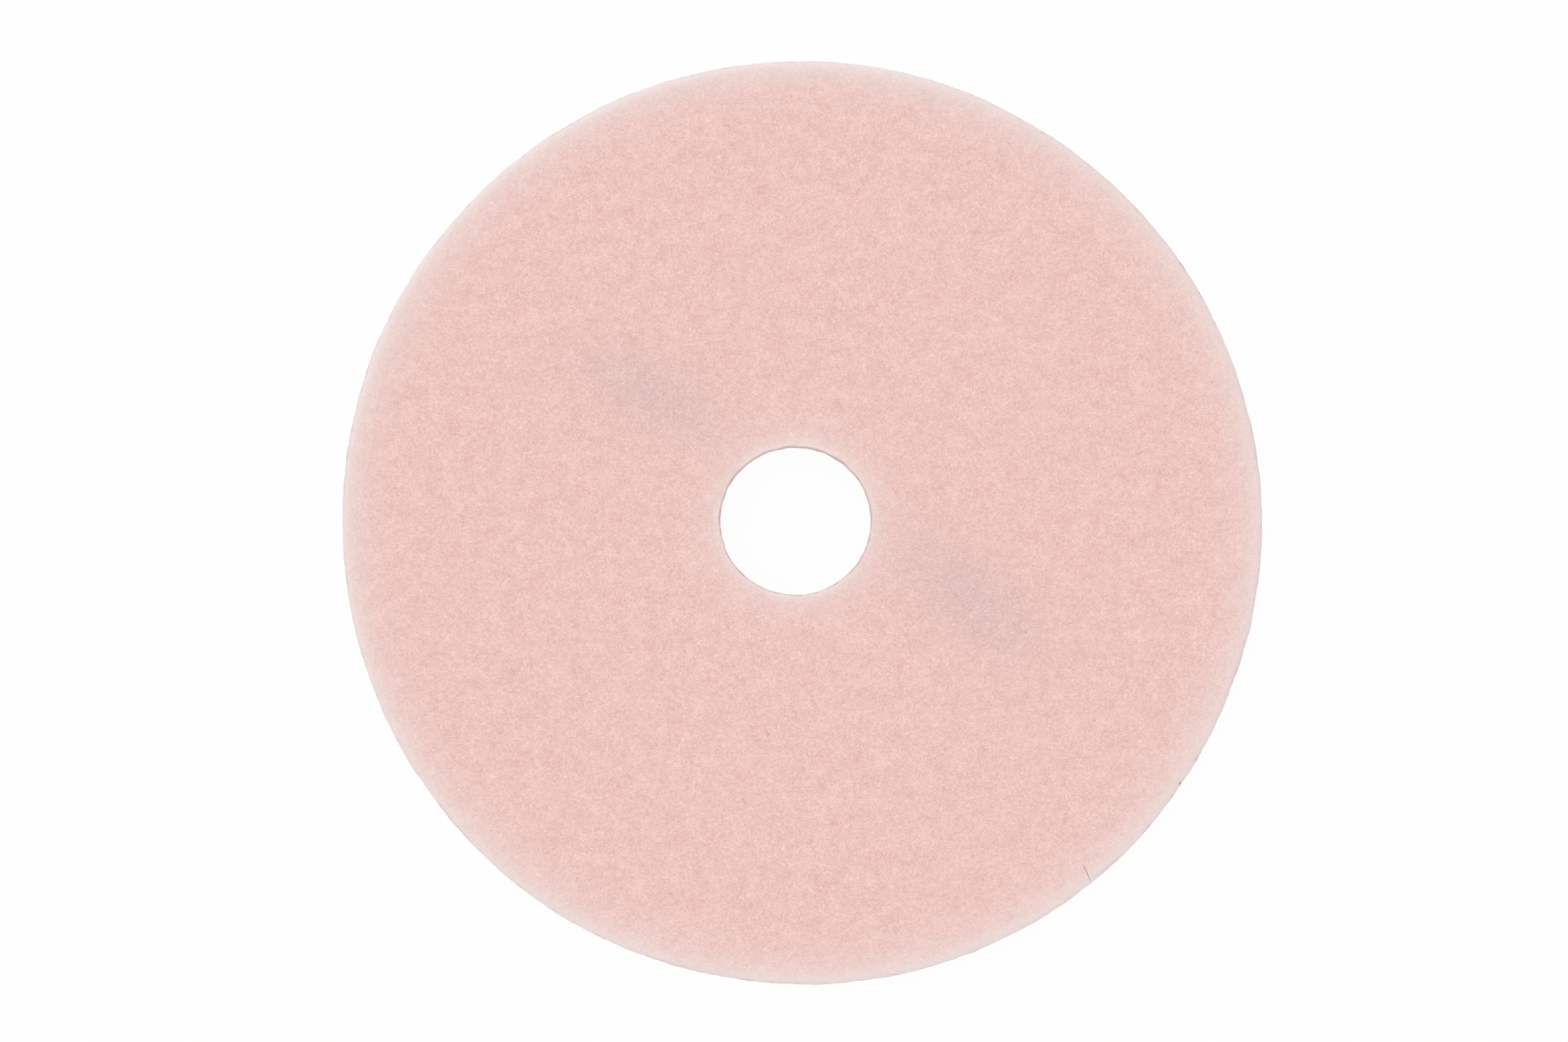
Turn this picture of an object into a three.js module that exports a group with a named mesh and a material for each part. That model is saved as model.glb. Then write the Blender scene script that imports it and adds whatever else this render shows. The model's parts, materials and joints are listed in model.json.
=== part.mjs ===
// A floor polishing pad: one blank, die-cut from bonded non-woven web, with a punched centre hole.
// Millimetres, +Z up. The pad lies flat, with the origin on its lower face under the middle of its rim.

import * as THREE from "three";

// The cut blank.
const padDiameter = 508; // a 20 inch pad
const padThickness = 25.4; // 1 inch web

// The hub hole. The punch struck a little to the left of the middle and a little above it.
const holeDiameter = 82.55; // 3 1/4 inch, the usual hub of a pad driver
const holeOffsetX = -3.5;
const holeOffsetY = 0.7;

// The die crushes the web where it cuts, so each face rolls over into the cut wall.
const rollOverWidth = 5; // how far in from the cut the face starts to fall
const rollOverDrop = 4; // how far it has fallen at the wall

// How finely the round forms are divided.
const stepsRound = 144;
const stepsInRollOver = 4;

const webMaterial = new THREE.MeshStandardMaterial({
  color: 0xedc7bf,
  roughness: 1,
  metalness: 0,
});

// The flat part of a face: a disc less its hole, each short of its cut edge by the roll-over.
function flatOutline() {
  const outline = new THREE.Shape();
  outline.absarc(0, 0, padDiameter / 2 - rollOverWidth, 0, 2 * Math.PI, false);
  const hole = new THREE.Path();
  hole.absarc(holeOffsetX, holeOffsetY, holeDiameter / 2 + rollOverWidth, 0, 2 * Math.PI, true);
  outline.holes.push(hole);
  return outline;
}

// The blank: the flat outline grown outwards through a quarter ellipse at each of its four edges.
function padBlank() {
  const geometry = new THREE.ExtrudeGeometry(flatOutline(), {
    depth: padThickness - 2 * rollOverDrop,
    curveSegments: stepsRound / 2, // a full circle gets twice as many
    bevelEnabled: true,
    bevelThickness: rollOverDrop,
    bevelSize: rollOverWidth,
    bevelSegments: stepsInRollOver,
  });
  geometry.translate(0, 0, rollOverDrop);
  return geometry;
}

const pad = new THREE.Mesh(padBlank(), webMaterial);
pad.name = "pad";

const floorPad = new THREE.Group();
floorPad.add(pad);

export default floorPad;
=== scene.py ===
"""A pale pink floor pad of bonded non-woven web, lying on a white floor and seen from above.

The pad is one piece of web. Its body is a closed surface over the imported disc, and the fibres that
lie loose on that surface are thin closed strands, so the web has real depth at its faces and edges.
Lengths are metres, unless a name or a comment says millimetres.
"""

import json
import math

import bpy
import numpy as np
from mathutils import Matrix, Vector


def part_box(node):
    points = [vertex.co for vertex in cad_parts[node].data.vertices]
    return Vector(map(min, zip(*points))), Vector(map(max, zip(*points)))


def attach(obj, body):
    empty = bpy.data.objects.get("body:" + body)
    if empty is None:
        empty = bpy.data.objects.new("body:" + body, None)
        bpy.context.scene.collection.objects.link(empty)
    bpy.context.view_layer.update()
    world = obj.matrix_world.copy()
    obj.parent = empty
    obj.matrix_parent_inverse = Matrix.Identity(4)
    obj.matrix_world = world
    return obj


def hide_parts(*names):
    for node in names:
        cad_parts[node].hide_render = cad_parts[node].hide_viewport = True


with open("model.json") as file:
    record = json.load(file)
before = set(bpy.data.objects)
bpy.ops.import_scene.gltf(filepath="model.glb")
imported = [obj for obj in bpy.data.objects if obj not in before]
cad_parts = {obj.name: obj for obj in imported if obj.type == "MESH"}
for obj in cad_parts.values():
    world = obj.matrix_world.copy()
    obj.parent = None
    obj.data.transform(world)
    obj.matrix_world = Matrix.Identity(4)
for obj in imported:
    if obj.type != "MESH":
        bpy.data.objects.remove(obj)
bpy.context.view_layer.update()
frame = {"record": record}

MM = 0.001

# The pad, from the frame.
PAD_LOW, PAD_HIGH = (np.array(corner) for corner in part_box("pad"))
PAD_RADIUS = (PAD_HIGH[0] - PAD_LOW[0]) / 2
PAD_TOP = PAD_HIGH[2]
HUB_LOW, HUB_HIGH = np.array(frame["record"]["physics"]["openings"][0]["box_m"])
HOLE_CENTRE = ((HUB_LOW + HUB_HIGH) / 2)[:2]
HOLE_DIAMETER = 82.55 * MM  # 3 1/4 inch, for the hub of a pad driver
HOLE_RADIUS = HOLE_DIAMETER / 2
# How far in from a cut the face starts to fall, and how far it has fallen at the cut wall. The punch
# crushed the web less than the die did.
RIM_ROLL = np.array([5.0, 4.0]) * MM
HOLE_ROLL = np.array([1.5, 1.2]) * MM

# The photograph's frame and where the pad lies in it, in pixels.
PHOTO_WIDTH = 2360
PHOTO_HEIGHT = 1568
PAD_CENTRE_PX = (1206.8, 787.0)
PAD_WIDTH_PX = 1387.8
PIXEL = 2 * PAD_RADIUS / PAD_WIDTH_PX
LENS_MM = 80
SENSOR_MM = 36
# The camera stood a little to the near side of straight above, and a little to the left.
TILT_NEAR = math.radians(0.7)
TILT_LEFT = math.radians(0.15)


def from_photo(x, y):
    """The place on the pad, in metres, of a pixel of the photograph."""
    return np.array([(x - PAD_CENTRE_PX[0]) * PIXEL, (PAD_CENTRE_PX[1] - y) * PIXEL])


# Faint grey smudges on the upper face: middle, spread along and across in pixels, slope in degrees.
SMUDGES = (
    {"middle": from_photo(976, 591), "along": 80, "across": 38, "slope": -29},
    {"middle": from_photo(1457, 898), "along": 92, "across": 43, "slope": -39},
)

# A stray dark bristle near the rim, from end to end, and specks of grit with their widths in pixels.
BRISTLE = (from_photo(1628, 1300), from_photo(1642, 1333))
SPECKS = ((from_photo(1774, 1179), 5), (from_photo(1543, 952), 3))


# Colours


def linear(hex_colour):
    """An sRGB hex colour as linear red, green, blue and alpha."""
    channels = [int(hex_colour[i : i + 2], 16) / 255 for i in (1, 3, 5)]
    return [c / 12.92 if c <= 0.04045 else ((c + 0.055) / 1.055) ** 2.4 for c in channels] + [1.0]


# Shader nodes


def new_material(name):
    """An empty node material and its tree, with the Principled shader already at the output."""
    material = bpy.data.materials.new(name)
    material.use_nodes = True
    tree = material.node_tree
    tree.nodes.clear()
    shader = tree.nodes.new("ShaderNodeBsdfPrincipled")
    output = tree.nodes.new("ShaderNodeOutputMaterial")
    tree.links.new(shader.outputs[0], output.inputs["Surface"])
    return material, tree, shader


def add(tree, kind, inputs=(), **settings):
    """Adds a node, with its settings and its inputs as (name or number, value or socket) pairs."""
    node = tree.nodes.new("ShaderNode" + kind)
    for name, value in settings.items():
        setattr(node, name, value)
    for name, value in inputs:
        if isinstance(value, bpy.types.NodeSocket):
            tree.links.new(value, node.inputs[name])
        else:
            node.inputs[name].default_value = value
    return node


def maths(tree, operation, *values):
    """The result of a Math node."""
    return add(tree, "Math", enumerate(values), operation=operation).outputs[0]


def vectors(tree, operation, *values):
    """A Vector Math node."""
    return add(tree, "VectorMath", enumerate(values), operation=operation)


def mix_colours(tree, factor, first, second):
    """The colour result of a Mix node."""
    return add(tree, "Mix", (("Factor", factor), (6, first), (7, second)), data_type="RGBA").outputs[2]


def remap(tree, value, low, high, to_low=0.0, to_high=1.0):
    """value taken smoothly from low..high to to_low..to_high."""
    inputs = ((0, value), (1, low), (2, high), (3, to_low), (4, to_high))
    return add(tree, "MapRange", inputs, interpolation_type="SMOOTHSTEP").outputs[0]


def weighted_sum(tree, *pairs):
    """The sum of values times their weights, from (value, weight) pairs."""
    total = 0.0
    for value, weight in pairs:
        total = maths(tree, "MULTIPLY_ADD", value, weight, total)
    return total


def noise(tree, place, scale, shift, detail=2.0, roughness=0.5, distortion=0.0):
    """Noise around a half, at scale patches a millimetre, moved by shift so that no two layers agree."""
    moved = vectors(tree, "ADD", place, (shift, -shift, shift / 2)).outputs[0]
    inputs = (
        ("Vector", moved),
        ("Scale", scale),
        ("Detail", detail),
        ("Roughness", roughness),
        ("Distortion", distortion),
    )
    return add(tree, "TexNoise", inputs).outputs["Fac"]


def curly_lines(tree, place, scale, width, shift):
    """Thin curly lines, as crimped fibres lie: the narrow band where a noise passes through a half."""
    field = noise(tree, place, scale, shift, detail=1.0, distortion=0.6)
    off_line = maths(tree, "ABSOLUTE", maths(tree, "SUBTRACT", field, 0.5))
    return remap(tree, off_line, 0.0, width, 1.0, 0.0)


def millimetres(tree):
    """The place on the piece, in millimetres."""
    place = add(tree, "TexCoord").outputs["Object"]
    return vectors(tree, "MULTIPLY", place, (1 / MM,) * 3).outputs[0]


def flattened(tree, place):
    """The place seen from above: the same at every height."""
    return vectors(tree, "MULTIPLY", place, (1, 1, 0)).outputs[0]


def nearness(tree, place, centre, radius, fade_mm):
    """1 at a round cut edge and falling by a factor e each fade_mm away from it, over the face."""
    away = vectors(tree, "SUBTRACT", flattened(tree, place), (*(c / MM for c in centre), 0)).outputs[0]
    reach = vectors(tree, "LENGTH", away).outputs["Value"]
    distance = maths(tree, "ABSOLUTE", maths(tree, "SUBTRACT", reach, radius / MM))
    return maths(tree, "EXPONENT", maths(tree, "DIVIDE", distance, -fade_mm))


def smudge(tree, place, spot):
    """A soft oval mark on the upper face: 1 at its middle, a bell curve along and across it."""
    along, across = (spot[name] * PIXEL / MM for name in ("along", "across"))
    inputs = (
        ("Vector", flattened(tree, place)),
        ("Location", (*(c / MM for c in spot["middle"]), 0)),
        ("Rotation", (0, 0, math.radians(spot["slope"]))),
        ("Scale", (along, across, 1)),
    )
    oval = add(tree, "Mapping", inputs, vector_type="TEXTURE").outputs[0]
    square = vectors(tree, "DOT_PRODUCT", oval, oval).outputs["Value"]
    return maths(tree, "EXPONENT", maths(tree, "MULTIPLY", square, -0.5))


# Materials

GAP_SHADE_PINK = linear("#DFB0A6")  # down between the fibres: their deeper tone, and painted shade
CROWN_LIT_PINK = linear("#FAD7D0")  # on top of them: their paler tone, and painted light
EDGE_GLOW_PINK = linear("#F0E0DE")  # painted light: the web thins towards a cut, and the light that comes through it is painted in
ROLL_OVER_LIGHT_PINK = linear("#FFF3F1")  # more painted light over the last millimetres, which also paints out the roll-over's shade
DYED_PINK = linear("#E6A794")  # a tuft that took more of the dye
PAINTED_GLINT_PINK = linear("#FFF3EE")  # painted highlight: a strand that seems to shine
SMUDGE_GREY = linear("#CBB6BA")
GRIT_DARK = linear("#8E7A76")
GRIT_PALE = linear("#B8A09B")

# At each cut: how far in from it the fade falls by a factor e, in mm, and the shares of the two pinks of
# painted light.
RIM_FADE = {"mm": 10, "edge": 1.0, "thin": 0.65}
HOLE_FADE = {"mm": 9, "edge": 0.62, "thin": 0.4}
ROLL_OVER_LIGHT_POWER = 5  # the palest pink falls off this many times sooner
ROLL_OVER_LIGHT_FROM = 0.6  # and needs a place to be this much of a face, not of a cut wall
WALL_HEIGHTS = (4, 12)  # mm from the web's middle, between which a cut wall turns into a face
WALL_FADE_SHARE = 0.5  # a cut wall is deep in the web, gets less of the painted edge light, and keeps more of its pink
WALL_SHADE_CONTRAST = 1.8  # the web's layers end in it, with deeper gaps: more painted shade in them and more painted light on the crowns

# The noises: scale in patches a millimetre, and a shift that sets each apart from the others.
CURLS = (
    {"scale": 0.42, "width": 0.08, "shift": 3.0},
    {"scale": 0.5, "width": 0.08, "shift": 17.0},
    {"scale": 0.65, "width": 0.1, "shift": 29.0},
)
CURL_SHARES = (0.55, 0.45)  # of the first two, taken as one, and of the third
GRAIN = {"scale": 1.6, "shift": 60.0, "detail": 2.0, "roughness": 0.7}
TUFTS = {"scale": 0.09, "shift": 75.0, "detail": 4.0, "roughness": 0.85}
DYED_TUFTS = {"scale": 0.24, "shift": 120.0, "detail": 3.0}
SMUDGE_BREAKUP = {"scale": 0.7, "shift": 90.0, "detail": 4.0, "roughness": 0.7}
STRAND_TONES = {"scale": 0.12, "shift": 140.0, "detail": 3.0, "roughness": 0.8}
PAINTED_GLINTS = {"scale": 0.9, "shift": 160.0}
GRIT_SHADES = {"scale": 0.8, "shift": 5.0}

# How noises are remapped: the first two numbers are taken smoothly to the last two.
DYED_RANGE = (0.63, 0.74, 0.0, 0.4)
SMUDGE_BREAKUP_RANGE = (0.35, 0.65, 0.0, 2.0)
PAINTED_GLINT_RANGE = (0.66, 0.72, 0.0, 0.8)
SMUDGE_SHARE = 0.3
LAYING = (1, 1, 2.5)  # fibres lie in the web's plane, so a pattern is finer through its thickness

# Weights of curls, grain and tufts in the web's pink, and what brings their sum to about a half.
PINK_WEIGHTS = (0.7, 0.5, 1.1)
PINK_LEVEL = -0.53
RELIEF_WEIGHTS = (0.6, 0.5)  # of curls and grain: the mesh has coarser lumps of its own
RELIEF_STRENGTH = 0.6
RELIEF_DEPTH = 0.4 * MM
STRAND_TONE_WEIGHT = 1.2
STRAND_TONE_LEVEL = 0.3


def fibre_mat(tree, place):
    """The matted fibres in three layers, each from 0 to 1: curly strands, finer grain, coarser tufts."""
    laid = vectors(tree, "MULTIPLY", place, LAYING).outputs[0]
    curls = [curly_lines(tree, laid, **curl) for curl in CURLS]
    upper = maths(tree, "MAXIMUM", curls[0], curls[1])
    curly = weighted_sum(tree, *zip((upper, curls[2]), CURL_SHARES))
    return curly, noise(tree, laid, **GRAIN), noise(tree, laid, **TUFTS)


def with_painted_edge_light(tree, place, on_face, pink):
    """pink, mixed with two paler ones towards the cuts: painted light through the thin web. on_face is 0
    on a cut wall and 1 on a face.
    """
    at_rim = nearness(tree, place, (0, 0), PAD_RADIUS, RIM_FADE["mm"])
    at_hole = nearness(tree, place, HOLE_CENTRE, HOLE_RADIUS, HOLE_FADE["mm"])
    for colour, share, power, over_wall in (
        (EDGE_GLOW_PINK, "edge", 1, remap(tree, on_face, 0, 1, WALL_FADE_SHARE, 1)),
        (ROLL_OVER_LIGHT_PINK, "thin", ROLL_OVER_LIGHT_POWER, remap(tree, on_face, ROLL_OVER_LIGHT_FROM, 1)),
    ):
        rim = maths(tree, "MULTIPLY", maths(tree, "POWER", at_rim, power), RIM_FADE[share])
        hole = maths(tree, "MULTIPLY", maths(tree, "POWER", at_hole, power), HOLE_FADE[share])
        fade = maths(tree, "MULTIPLY", maths(tree, "MAXIMUM", rim, hole), over_wall)
        pink = mix_colours(tree, fade, pink, colour)
    return pink


def smudged(tree, place, height, pink):
    """pink, with the grey smudges of the upper face, broken up into patches by a noise."""
    marks = maths(tree, "MAXIMUM", *(smudge(tree, place, spot) for spot in SMUDGES))
    on_top = remap(tree, height, PAD_TOP / MM / 2, PAD_TOP / MM)
    patchy = remap(tree, noise(tree, place, **SMUDGE_BREAKUP), *SMUDGE_BREAKUP_RANGE)
    marks = maths(tree, "MULTIPLY", maths(tree, "MULTIPLY", marks, on_top), patchy)
    return mix_colours(tree, maths(tree, "MULTIPLY", marks, SMUDGE_SHARE), pink, SMUDGE_GREY)


def web_colour(tree, place, mat):
    """The web's pink: mat mixes gap to crown, with painted shade and light; some tufts are dyed deeper,
    cuts are paler with painted light, smudges grey.
    """
    height = add(tree, "SeparateXYZ", ((0, place),)).outputs["Z"]
    from_middle = maths(tree, "ABSOLUTE", maths(tree, "SUBTRACT", height, PAD_TOP / MM / 2))
    on_face = remap(tree, from_middle, *WALL_HEIGHTS)
    # on a cut wall, gap and crown part further: stronger painted shade and light
    contrast = remap(tree, on_face, 0, 1, WALL_SHADE_CONTRAST, 1)
    mat = weighted_sum(tree, (maths(tree, "SUBTRACT", mat, 0.5), contrast), (1.0, 0.5))
    # gap to crown: the fibres' own tone, with painted shade in the gaps and painted light on the crowns
    pink = mix_colours(tree, mat, GAP_SHADE_PINK, CROWN_LIT_PINK)
    dyed = remap(tree, noise(tree, place, **DYED_TUFTS), *DYED_RANGE)
    pink = mix_colours(tree, dyed, pink, DYED_PINK)
    # painted light at the cuts
    pink = with_painted_edge_light(tree, place, on_face, pink)
    return smudged(tree, place, height, pink)


def web_material():
    """Bonded non-woven web: matt pink, made of fine curly fibres with slightly deeper gaps between, in
    bump and in painted shade.
    """
    material, tree, shader = new_material("non_woven_web")
    place = millimetres(tree)
    layers = fibre_mat(tree, place)
    mat = weighted_sum(tree, *zip(layers, PINK_WEIGHTS), (1.0, PINK_LEVEL))
    tree.links.new(web_colour(tree, place, mat), shader.inputs["Base Color"])
    relief = weighted_sum(tree, *zip(layers, RELIEF_WEIGHTS))  # curls and grain only
    inputs = (("Height", relief), ("Strength", RELIEF_STRENGTH), ("Distance", RELIEF_DEPTH))
    tree.links.new(add(tree, "Bump", inputs).outputs[0], shader.inputs["Normal"])
    shader.inputs["Roughness"].default_value = 0.9
    shader.inputs["Specular IOR Level"].default_value = 0.2
    shader.inputs["Sheen Weight"].default_value = 0.15
    shader.inputs["Sheen Roughness"].default_value = 0.5
    return material


def strand_material():
    """Loose polyester fibre: the web's pink, a little paler and glossier, with a painted highlight on a
    few strands.
    """
    material, tree, shader = new_material("loose_fibre")
    place = millimetres(tree)
    tone = noise(tree, place, **STRAND_TONES)
    mat = weighted_sum(tree, (tone, STRAND_TONE_WEIGHT), (1.0, STRAND_TONE_LEVEL))
    # a painted highlight on a few strands
    painted_glint = remap(tree, noise(tree, place, **PAINTED_GLINTS), *PAINTED_GLINT_RANGE)
    colour = mix_colours(tree, painted_glint, web_colour(tree, place, mat), PAINTED_GLINT_PINK)
    tree.links.new(colour, shader.inputs["Base Color"])
    shader.inputs["Roughness"].default_value = 0.5
    shader.inputs["Specular IOR Level"].default_value = 0.4
    return material


def grit_material():
    """A stray bristle and floor grit: dull brown-grey, mottled."""
    material, tree, shader = new_material("stray_bristle_and_grit")
    shade = noise(tree, millimetres(tree), **GRIT_SHADES)
    colour = mix_colours(tree, shade, GRIT_DARK, GRIT_PALE)
    tree.links.new(colour, shader.inputs["Base Color"])
    shader.inputs["Roughness"].default_value = 0.7
    return material


# Geometry


def mesh_piece(name, points, faces, material, smooth):
    """A piece of the pad from points (n, 3) and faces (m, corners) of point numbers."""
    mesh = bpy.data.meshes.new(name)
    corners = faces.shape[1]
    mesh.vertices.add(len(points))
    mesh.vertices.foreach_set("co", points.astype(np.float32).ravel())
    mesh.loops.add(faces.size)
    mesh.loops.foreach_set("vertex_index", faces.astype(np.int32).ravel())
    mesh.polygons.add(len(faces))
    mesh.polygons.foreach_set("loop_start", np.arange(0, faces.size, corners, dtype=np.int32))
    mesh.polygons.foreach_set("use_smooth", np.full(len(faces), smooth))
    mesh.update(calc_edges=True)
    mesh.validate()
    mesh.materials.append(material)
    piece = bpy.data.objects.new(name, mesh)
    bpy.context.scene.collection.objects.link(piece)
    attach(piece, "root")
    return piece


WAVE_SPREAD = (0.75, 1.35)  # shares of a field's wavelength


def soft_field(points, wavelength, seed, waves=24):
    """A smooth random height at points (..., 3), about 1 in size: sine waves in all directions, summed."""
    rng = np.random.default_rng(seed)
    ways = rng.normal(size=(waves, 3))
    ways /= np.linalg.norm(ways, axis=1, keepdims=True)
    lengths = wavelength * rng.uniform(*WAVE_SPREAD, (waves, 1))
    phase = rng.uniform(0, 2 * math.pi, waves)
    waves_at = np.sin(points @ (2 * math.pi * ways / lengths).T + phase)
    return waves_at.sum(axis=-1) * math.sqrt(2 / waves)


# The skin's depth under the even disc and its limits, and its lumps' height, all in mm, length and seed.
SKIN_DEPTH = 0.4
SKIN_LIMITS = (0.08, 0.8)
LUMPS = ((0.13, 30 * MM, 1), (0.08, 11 * MM, 2))


def sunk(points):
    """How far the skin of the web lies under the even disc at points: soft lumps as the fibres bunch."""
    lumps = sum(height * soft_field(points, length, seed) for height, length, seed in LUMPS)
    return (SKIN_DEPTH - lumps).clip(*SKIN_LIMITS) * MM


UPWARDS = np.array([0, 0, 1.0])


def direction(angle):
    """The unit vectors in the pad's plane at these angles."""
    return np.stack([np.cos(angle), np.sin(angle)], axis=-1)


def turned_by(flat):
    """The angles of vectors in the pad's plane."""
    return np.arctan2(flat[..., 1], flat[..., 0])


RIM_LONG_WAY = math.radians(112)  # the web stretched this way as it was cut
RIM_OVAL = 0.6  # mm, as are the heights of the waves
RIM_INSIDE = 0.1  # mm that the cut stands in from the disc on the whole
HOLE_OVAL = 0.5
# How many waves go round, their height and where they start.
RIM_WAVES = ((5, 0.2, 0.7), (9, 0.15, 2.1), (23, 0.08, 0.0))
HOLE_WAVES = ((5, 0.06, 1.0),)


def waves_round(angle, waves):
    """The sum of sine waves that go round a cut."""
    return sum(height * np.sin(count * angle + start) for count, height, start in waves)


def rim_reach(angle):
    """Radius of the cut rim: a circle, a little longer one way, with the slight waves of a soft cut."""
    oval = RIM_OVAL * np.cos(2 * (angle - RIM_LONG_WAY))
    return PAD_RADIUS + (oval + waves_round(angle, RIM_WAVES) - RIM_INSIDE) * MM


def hole_reach(angle):
    """Radius of the punched hole: a circle, a little wider than high."""
    return HOLE_RADIUS + (HOLE_OVAL * np.cos(2 * angle) + waves_round(angle, HOLE_WAVES)) * MM


def face_drop(from_cut, roll):
    """How far a face has fallen at this distance in from a cut: a quarter ellipse."""
    width, drop = roll
    share = (1 - from_cut / width).clip(0, 1)
    return drop * (1 - np.sqrt(1 - share**2))


def cut_back(height, roll):
    """How far the cut wall stands back at this height, as the faces roll over into it."""
    width, drop = roll
    into_roll = np.maximum(height - (PAD_TOP - drop), drop - height)
    share = (into_roll / drop).clip(0, 1)
    return width * (1 - np.sqrt(1 - share**2))


# Steps of the body's mesh.
AROUND = 480
ACROSS_FACE = 60
UP_WALL = 16
ROUND_ROLL_OVER = 5
# The web's layers, as they end in a cut wall: ridges that run round it.
LAYER_HEIGHT = 0.15 * MM
LAYER_LENGTH = 11 * MM
LAYER_FLATNESS = 4.0
LAYER_SEED = 3
WALL_EVENNESS = 0.5  # a cut is this much more even than the faces


def cut_edge(roll):
    """The section at a cut, from the upper face down to the lower: inset, height, outwards, upwards.

    inset is how far a point lies inside the cut. outwards and upwards are the surface's normal.
    """
    width, drop = roll
    quarter = np.linspace(0, math.pi / 2, ROUND_ROLL_OVER + 1)
    sine, cosine = np.sin(quarter), np.cos(quarter)
    upper = np.stack([width * (1 - sine), PAD_TOP - drop * (1 - cosine), sine, cosine])
    wall_height = np.linspace(PAD_TOP - drop, drop, UP_WALL + 1)[1:-1]
    one = np.ones_like(wall_height)
    wall = np.stack([0 * one, wall_height, one, 0 * one])
    lower = np.stack([width * (1 - sine), drop * (1 - cosine), sine, -cosine])[:, ::-1]
    return np.concatenate([upper, wall, lower], axis=1)


def section():
    """The pad's section as a closed line: share, inset, height, outwards and upwards for each point.

    share runs from 0 at the hole to 1 at the rim, and outwards is away from the hole's middle.
    """
    across = np.linspace(0, 1, ACROSS_FACE + 1)[1:-1]
    one = np.ones_like(across)
    inset = HOLE_ROLL[0] + across * (RIM_ROLL[0] - HOLE_ROLL[0])
    upper = np.stack([across, inset, PAD_TOP * one, 0 * one, one])
    lower = np.stack([across, inset, 0 * one, 0 * one, -one])[:, ::-1]
    rim, hole = cut_edge(RIM_ROLL), cut_edge(HOLE_ROLL)[:, ::-1]
    hole[2] *= -1
    rim = np.vstack([np.ones(rim.shape[1]), rim])
    hole = np.vstack([np.zeros(hole.shape[1]), hole])
    return np.concatenate([upper, rim, lower, hole], axis=1)


def with_height(flat, height):
    """Points or directions (..., 3) from flat ones (..., 2) and a height for each."""
    return np.concatenate([flat, np.broadcast_to(height[..., None], (*flat.shape[:-1], 1))], axis=-1)


def web_body(material):
    """The web's body: the section swept round from hole to rim, with soft lumps pressed into it.

    The cut walls also show the layers of the web, as flatter lumps.
    """
    share, inset, height, outwards, upwards = (row[:, None] for row in section())
    angle = np.linspace(0, 2 * math.pi, AROUND, endpoint=False)[None, :]
    way = direction(angle)
    at_hole = HOLE_CENTRE + (hole_reach(angle) + inset)[..., None] * way
    at_rim = (rim_reach(angle) - inset)[..., None] * way
    even = with_height(at_hole + share[..., None] * (at_rim - at_hole), height)
    normal = with_height(outwards[..., None] * way, upwards)
    on_wall = np.abs(outwards)
    layers = LAYER_HEIGHT * soft_field(even * (1, 1, LAYER_FLATNESS), LAYER_LENGTH, LAYER_SEED) * on_wall
    lumps = sunk(even) * (1 - WALL_EVENNESS * on_wall)
    points = even - (lumps + layers)[..., None] * normal
    rows = len(height)
    number = np.arange(rows * AROUND).reshape(rows, AROUND)
    after = np.roll(number, -1, axis=0)
    faces = np.stack([number, after, np.roll(after, -1, axis=1), np.roll(number, -1, axis=1)], axis=-1)
    return mesh_piece("web_body", points.reshape(-1, 3), faces.reshape(-1, 4), material, smooth=True)


STRAND_STEPS = 4
STRAND_WIDTH = 0.32 * MM
STRAND_WIDTHS = (0.6, 1.3)  # shares of that width
STRAND_LENGTH = 5.5 * MM
STRAND_LENGTHS = (0.5, 1.5)  # shares of that length
STRAND_BEND = 1.8  # spread of the turn from end to end, in radians
STRAND_SWING = 0.7  # most that it winds to each side of that, in radians
STRAND_RISE = (0.2, 0.36)  # mm from its ends up to its middle
STRAND_ENDS_DEEP = 0.2  # mm under the skin
WALL_STRANDS_DEEPER = 0.1  # mm
WALL_MARGIN = 0.6  # share of the roll-over's drop that wall strands keep from a face at their middle
WALL_REACH = 2 / 3  # and share of that which they keep along their length
CLEAR_OF_CUT = 0.6 * MM  # strands of a face keep this far from its cuts
STRANDS_ON_FACE = 11000
STRANDS_ON_RIM = 7600
STRANDS_IN_HOLE = 1400
CUT_EDGE_SEED = 21
# A strand's section, as shares of half its width sideways and outwards: low, with a ridge.
RIDGE_SECTION = np.array([[0, 0.35], [-1, -0.12], [1, -0.12]])
PLAN_WIDTH = 2.1 * PAD_RADIUS


def crimped_paths(count, rng):
    """Plan views (count, steps + 1, 2) of short fibres that bend one way and wind a little as they go."""
    along = np.linspace(0, 1, STRAND_STEPS + 1)
    start = rng.uniform(0, 2 * math.pi, (count, 1))
    bend = rng.normal(0, STRAND_BEND, (count, 1))
    swing = rng.uniform(0, STRAND_SWING, (count, 1))
    phase = rng.uniform(0, 2 * math.pi, (count, 1))
    heading = start + bend * along + swing * np.sin(2 * math.pi * along + phase)
    step = STRAND_LENGTH * rng.uniform(*STRAND_LENGTHS, (count, 1, 1)) / STRAND_STEPS
    path = np.cumsum(step * direction(heading), axis=1)
    return path - path.mean(axis=1, keepdims=True)


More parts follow.
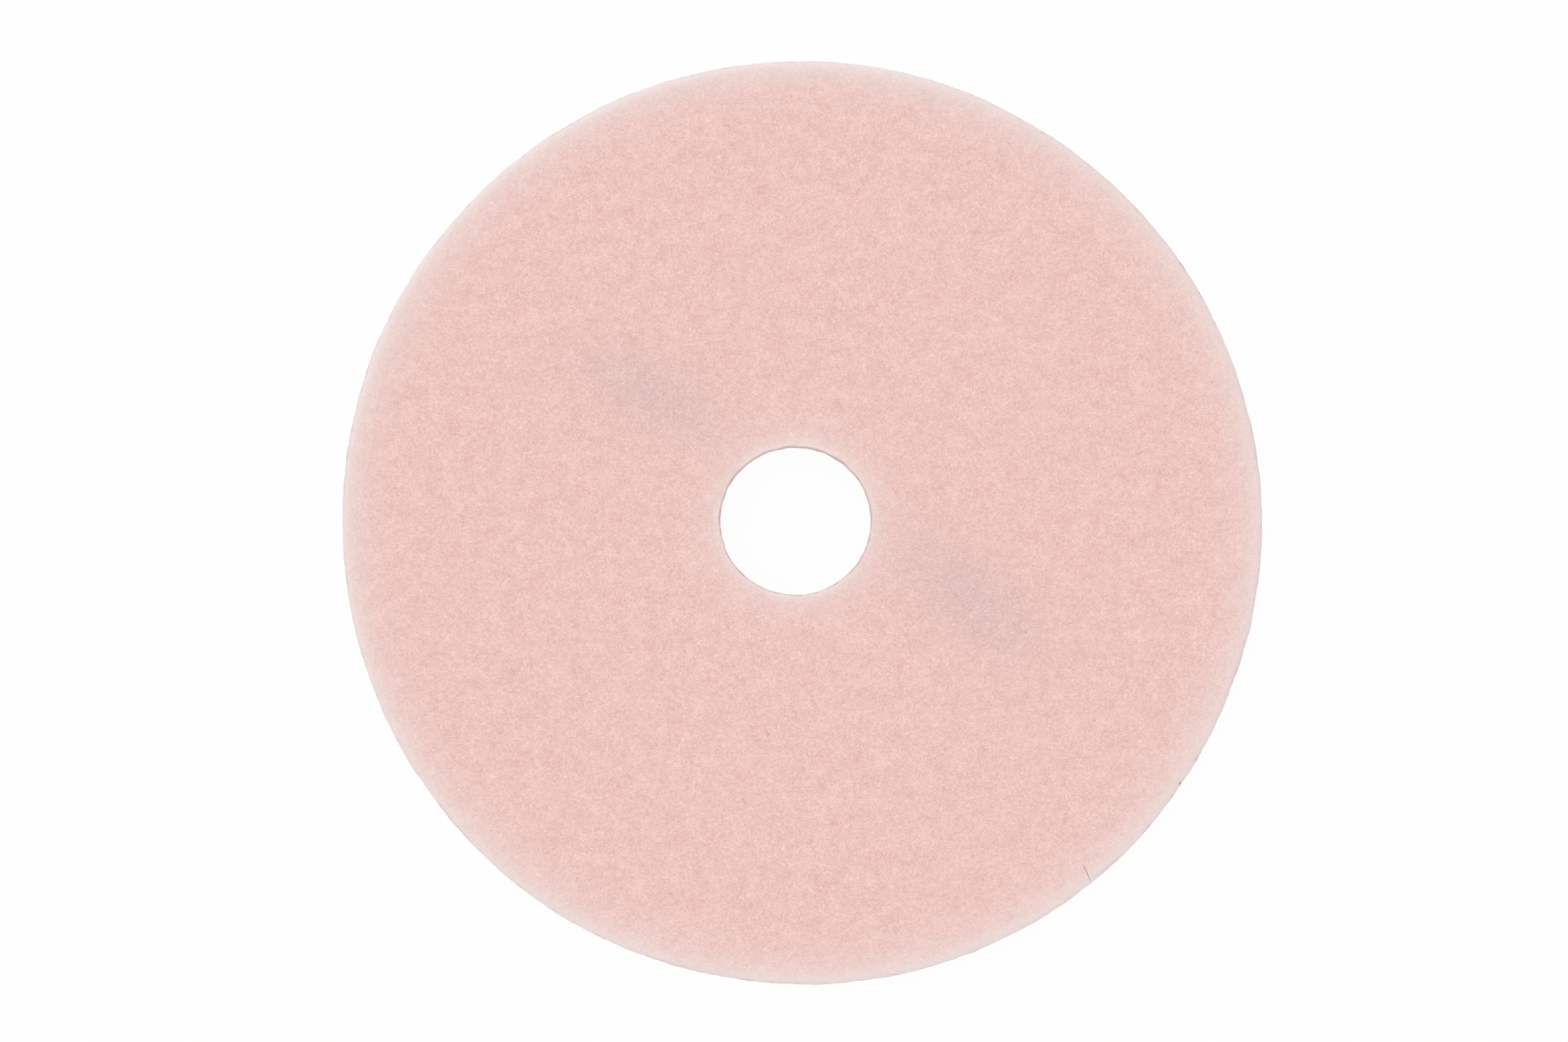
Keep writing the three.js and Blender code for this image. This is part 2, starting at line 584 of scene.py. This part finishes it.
def strands(name, lines, ups, width, material):
    """Closed three-sided strands along lines (count, steps + 1, 3), each drawn to a point at both ends."""
    count, rings = lines.shape[0], lines.shape[1] - 2
    along = np.gradient(lines, axis=1)[:, 1:-1]
    side = np.cross(along, ups[:, 1:-1])
    side /= np.linalg.norm(side, axis=-1, keepdims=True)
    crown = np.cross(side, along)
    crown /= np.linalg.norm(crown, axis=-1, keepdims=True)
    sideways, outwards = RIDGE_SECTION.T[..., None]
    around = sideways * side[:, :, None] + outwards * crown[:, :, None]
    tubes = lines[:, 1:-1, None] + width[:, None, None, None] / 2 * around
    points = np.concatenate([lines[:, :1], tubes.reshape(count, -1, 3), lines[:, -1:]], axis=1)
    first = np.arange(count)[:, None] * points.shape[1]
    ring = first[..., None] + 1 + np.arange(rings * 3).reshape(1, rings, 3)
    here, ahead = ring[:, :-1], ring[:, 1:]
    turned_here, turned_ahead = np.roll(here, -1, 2), np.roll(ahead, -1, 2)
    tip = first[..., None] + 0 * ring[:, :1]
    tail = tip + rings * 3 + 1
    triangles = (
        (tip, ring[:, :1], np.roll(ring[:, :1], -1, 2)),
        (here, ahead, turned_here),
        (turned_here, ahead, turned_ahead),
        (ring[:, -1:], tail, np.roll(ring[:, -1:], -1, 2)),
    )
    faces = np.concatenate([np.stack(corners, axis=-1).reshape(-1, 3) for corners in triangles])
    piece = mesh_piece(name, points.reshape(-1, 3), faces, material, smooth=False)
    plan_map(piece.data)
    return piece


def plan_map(mesh):
    """Gives the mesh a map that is its plan view, so that its colours bake as they lie on the pad."""
    places = np.empty(len(mesh.vertices) * 3, np.float32)
    mesh.vertices.foreach_get("co", places)
    corners = np.empty(len(mesh.loops), np.int32)
    mesh.loops.foreach_get("vertex_index", corners)
    plan = 0.5 + places.reshape(-1, 3)[corners, :2] / PLAN_WIDTH
    mesh.uv_layers.new(name="OFBake").data.foreach_set("uv", plan.ravel())


def risen(count, rng):
    """Height of each strand's line over the web's skin: an arch, with both ends tucked under."""
    arch = 1 - np.linspace(-1, 1, STRAND_STEPS + 1) ** 4
    return (rng.uniform(*STRAND_RISE, (count, 1)) * arch - STRAND_ENDS_DEEP) * MM


def from_cuts(flat):
    """How far points of a face lie in from the rim and from the hole."""
    from_hole = flat - HOLE_CENTRE
    at_rim = rim_reach(turned_by(flat)) - np.linalg.norm(flat, axis=-1)
    at_hole = np.linalg.norm(from_hole, axis=-1) - hole_reach(turned_by(from_hole))
    return at_rim, at_hole


def on_upper_face(flat):
    """Points of the even upper face over flat ones, rolled over at the cuts."""
    at_rim, at_hole = from_cuts(flat)
    return with_height(flat, PAD_TOP - face_drop(at_rim, RIM_ROLL) - face_drop(at_hole, HOLE_ROLL))


def face_strands(name, upper, count, seed, material):
    """Fibres that lie loose on one face, following its lumps and the roll-over at its cuts."""
    rng = np.random.default_rng(seed)
    turn = rng.uniform(0, 2 * math.pi, count)
    reach = PAD_RADIUS * np.sqrt(rng.uniform(0, 1, count))
    flat = (reach[:, None] * direction(turn))[:, None] + crimped_paths(count, rng)
    inside = (np.minimum(*from_cuts(flat)) > CLEAR_OF_CUT).all(axis=1)
    flat = flat[inside]
    even = on_upper_face(flat)
    lines = even + (risen(len(flat), rng) - sunk(even))[..., None] * UPWARDS
    ups = np.broadcast_to(UPWARDS, lines.shape)
    if not upper:  # the same from below, and pressed flat by the floor
        lines = lines * (1, 1, -1) + (0, 0, PAD_TOP)
        lines[..., 2] = lines[..., 2].clip(STRAND_WIDTH / 2)
        ups = -ups
    return strands(name, lines, ups, STRAND_WIDTH * rng.uniform(*STRAND_WIDTHS, len(flat)), material)


def wall_lines(count, centre, reach_at, roll, outwards, rng):
    """Lines of fibres laid round a cut wall, with their ends tucked in, and the ways out of the web."""
    path = crimped_paths(count, rng)
    radius = reach_at(np.zeros(1))
    angle = rng.uniform(0, 2 * math.pi, (count, 1)) + path[..., 0] / radius
    margin = WALL_MARGIN * roll[1]
    height = rng.uniform(margin, PAD_TOP - margin, (count, 1)) + path[..., 1] / LAYING[2]
    height = height.clip(STRAND_WIDTH, PAD_TOP - margin * WALL_REACH)
    reach = reach_at(angle) - outwards * cut_back(height, roll)
    even = with_height(centre + reach[..., None] * direction(angle), height)
    out = with_height(direction(angle), 0 * height) * outwards
    skin = sunk(even) * WALL_EVENNESS
    return even + (risen(count, rng) - WALL_STRANDS_DEEPER * MM - skin)[..., None] * out, out


def cut_edge_strands(name, material):
    """Fibres on the rim's wall and on the hole's."""
    rng = np.random.default_rng(CUT_EDGE_SEED)
    rim = wall_lines(STRANDS_ON_RIM, np.zeros(2), rim_reach, RIM_ROLL, 1, rng)
    hole = wall_lines(STRANDS_IN_HOLE, HOLE_CENTRE, hole_reach, HOLE_ROLL, -1, rng)
    lines, ups = (np.concatenate(pair) for pair in zip(rim, hole))
    return strands(name, lines, ups, STRAND_WIDTH * rng.uniform(*STRAND_WIDTHS, len(lines)), material)


BRISTLE_WIDTH = 0.33 * MM
BRISTLE_BOW = np.array([0.25, 0.1]) * MM
SPECK_WAY = np.array([0.3, 0.95])
STRAYS_ABOVE_SKIN = 0.2 * MM


def strays(name, material):
    """The stray bristle, lying almost straight, and the specks of grit, each a short thick strand."""
    along = np.linspace(-1, 1, STRAND_STEPS + 1)[:, None]
    start, end = BRISTLE
    flats = [(start + end) / 2 + along * (end - start) / 2 + (1 - along**2) * BRISTLE_BOW]
    widths = [BRISTLE_WIDTH]
    for middle, width in SPECKS:
        flats.append(middle + along * width * PIXEL / 2 * SPECK_WAY)
        widths.append(width * PIXEL / 2)
    even = on_upper_face(np.array(flats))
    lines = even - (sunk(even) - STRAYS_ABOVE_SKIN)[..., None] * UPWARDS
    return strands(name, lines, np.broadcast_to(UPWARDS, lines.shape), np.array(widths), material)


# Floor, light and camera


FLOOR_HALF = 3.0
FLOOR_WHITE = linear("#F2F2F2")
FLOOR_GLOW = 0.95  # how much of the floor's look is pure white, as the photograph's background is


def floor():
    """A plain white floor. To the camera it is nearly pure white, and keeps a faint contact shadow."""
    corner = FLOOR_HALF
    mesh = bpy.data.meshes.new("floor")
    points = [(-corner, -corner, 0), (corner, -corner, 0), (corner, corner, 0), (-corner, corner, 0)]
    mesh.from_pydata(points, [], [(0, 1, 2, 3)])
    material, tree, shader = new_material("white_floor")
    shader.inputs["Base Color"].default_value = FLOOR_WHITE
    shader.inputs["Roughness"].default_value = 1.0
    glow = add(tree, "Emission", (("Color", (1, 1, 1, 1)), ("Strength", 1.0)))
    paths = add(tree, "LightPath").outputs
    seen = maths(tree, "MAXIMUM", paths["Is Camera Ray"], paths["Is Glossy Ray"])
    seen = maths(tree, "MAXIMUM", seen, paths["Is Transmission Ray"])
    share = maths(tree, "MULTIPLY", seen, FLOOR_GLOW)
    blend = add(tree, "MixShader", ((0, share), (1, shader.outputs[0]), (2, glow.outputs[0])))
    output = next(node for node in tree.nodes if node.type == "OUTPUT_MATERIAL")
    tree.links.new(blend.outputs[0], output.inputs["Surface"])
    mesh.materials.append(material)
    plane = bpy.data.objects.new("floor", mesh)
    bpy.context.scene.collection.objects.link(plane)


WORLD_LIGHT = 0.8
LAMP_LIGHT = 0.77
LAMP_SPREAD = math.radians(60)
LAMP_TURN = (math.radians(-18), math.radians(-20), 0)


def studio_light():
    """Even white light from all round, and a large soft light from the upper left."""
    world = bpy.data.worlds.new("studio")
    world.use_nodes = True
    bpy.context.scene.world = world
    tree = world.node_tree
    background = tree.nodes["Background"]
    background.inputs["Color"].default_value = (1, 1, 1, 1)
    seen = add(tree, "LightPath").outputs["Is Camera Ray"]
    tree.links.new(remap(tree, seen, 0, 1, WORLD_LIGHT, 1), background.inputs["Strength"])
    lamp = bpy.data.lights.new("soft_lamp", "SUN")
    lamp.angle = LAMP_SPREAD
    lamp.energy = LAMP_LIGHT
    holder = bpy.data.objects.new("soft_lamp", lamp)
    holder.rotation_euler = LAMP_TURN
    bpy.context.scene.collection.objects.link(holder)


def camera():
    """The photograph's camera: almost straight above, with the picture's top towards +Y."""
    lens = bpy.data.cameras.new("camera")
    lens.lens = LENS_MM
    lens.sensor_width = SENSOR_MM
    distance = LENS_MM / SENSOR_MM * PHOTO_WIDTH * PIXEL
    towards = np.array(
        [
            -math.sin(TILT_LEFT) * math.cos(TILT_NEAR),
            -math.sin(TILT_NEAR),
            math.cos(TILT_LEFT) * math.cos(TILT_NEAR),
        ]
    )
    # Seen at a tilt, the rim's outline is centred a little off its middle, towards the camera.
    off_middle = PAD_RADIUS**2 / distance * np.array([math.sin(TILT_LEFT), math.sin(TILT_NEAR)])
    aim = from_photo(PHOTO_WIDTH / 2, PHOTO_HEIGHT / 2) - off_middle
    looks_at = np.array([*aim, PAD_TOP - RIM_ROLL[1]])
    holder = bpy.data.objects.new("camera", lens)
    holder.location = looks_at + distance * towards
    holder.rotation_euler = (TILT_NEAR, -TILT_LEFT, 0)
    bpy.context.scene.collection.objects.link(holder)
    bpy.context.scene.camera = holder


camera()
web = web_material()
loose = strand_material()
body = web_body(web)
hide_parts("pad")
face_strands("upper_fibres_a", True, STRANDS_ON_FACE, 11, loose)
face_strands("upper_fibres_b", True, STRANDS_ON_FACE, 12, loose)
face_strands("lower_fibres", False, STRANDS_ON_FACE, 13, loose)
cut_edge_strands("cut_edge_fibres", loose)
strays("stray_bristle_and_grit", grit_material())
floor()
studio_light()
bpy.context.scene.view_settings.view_transform = "Standard"
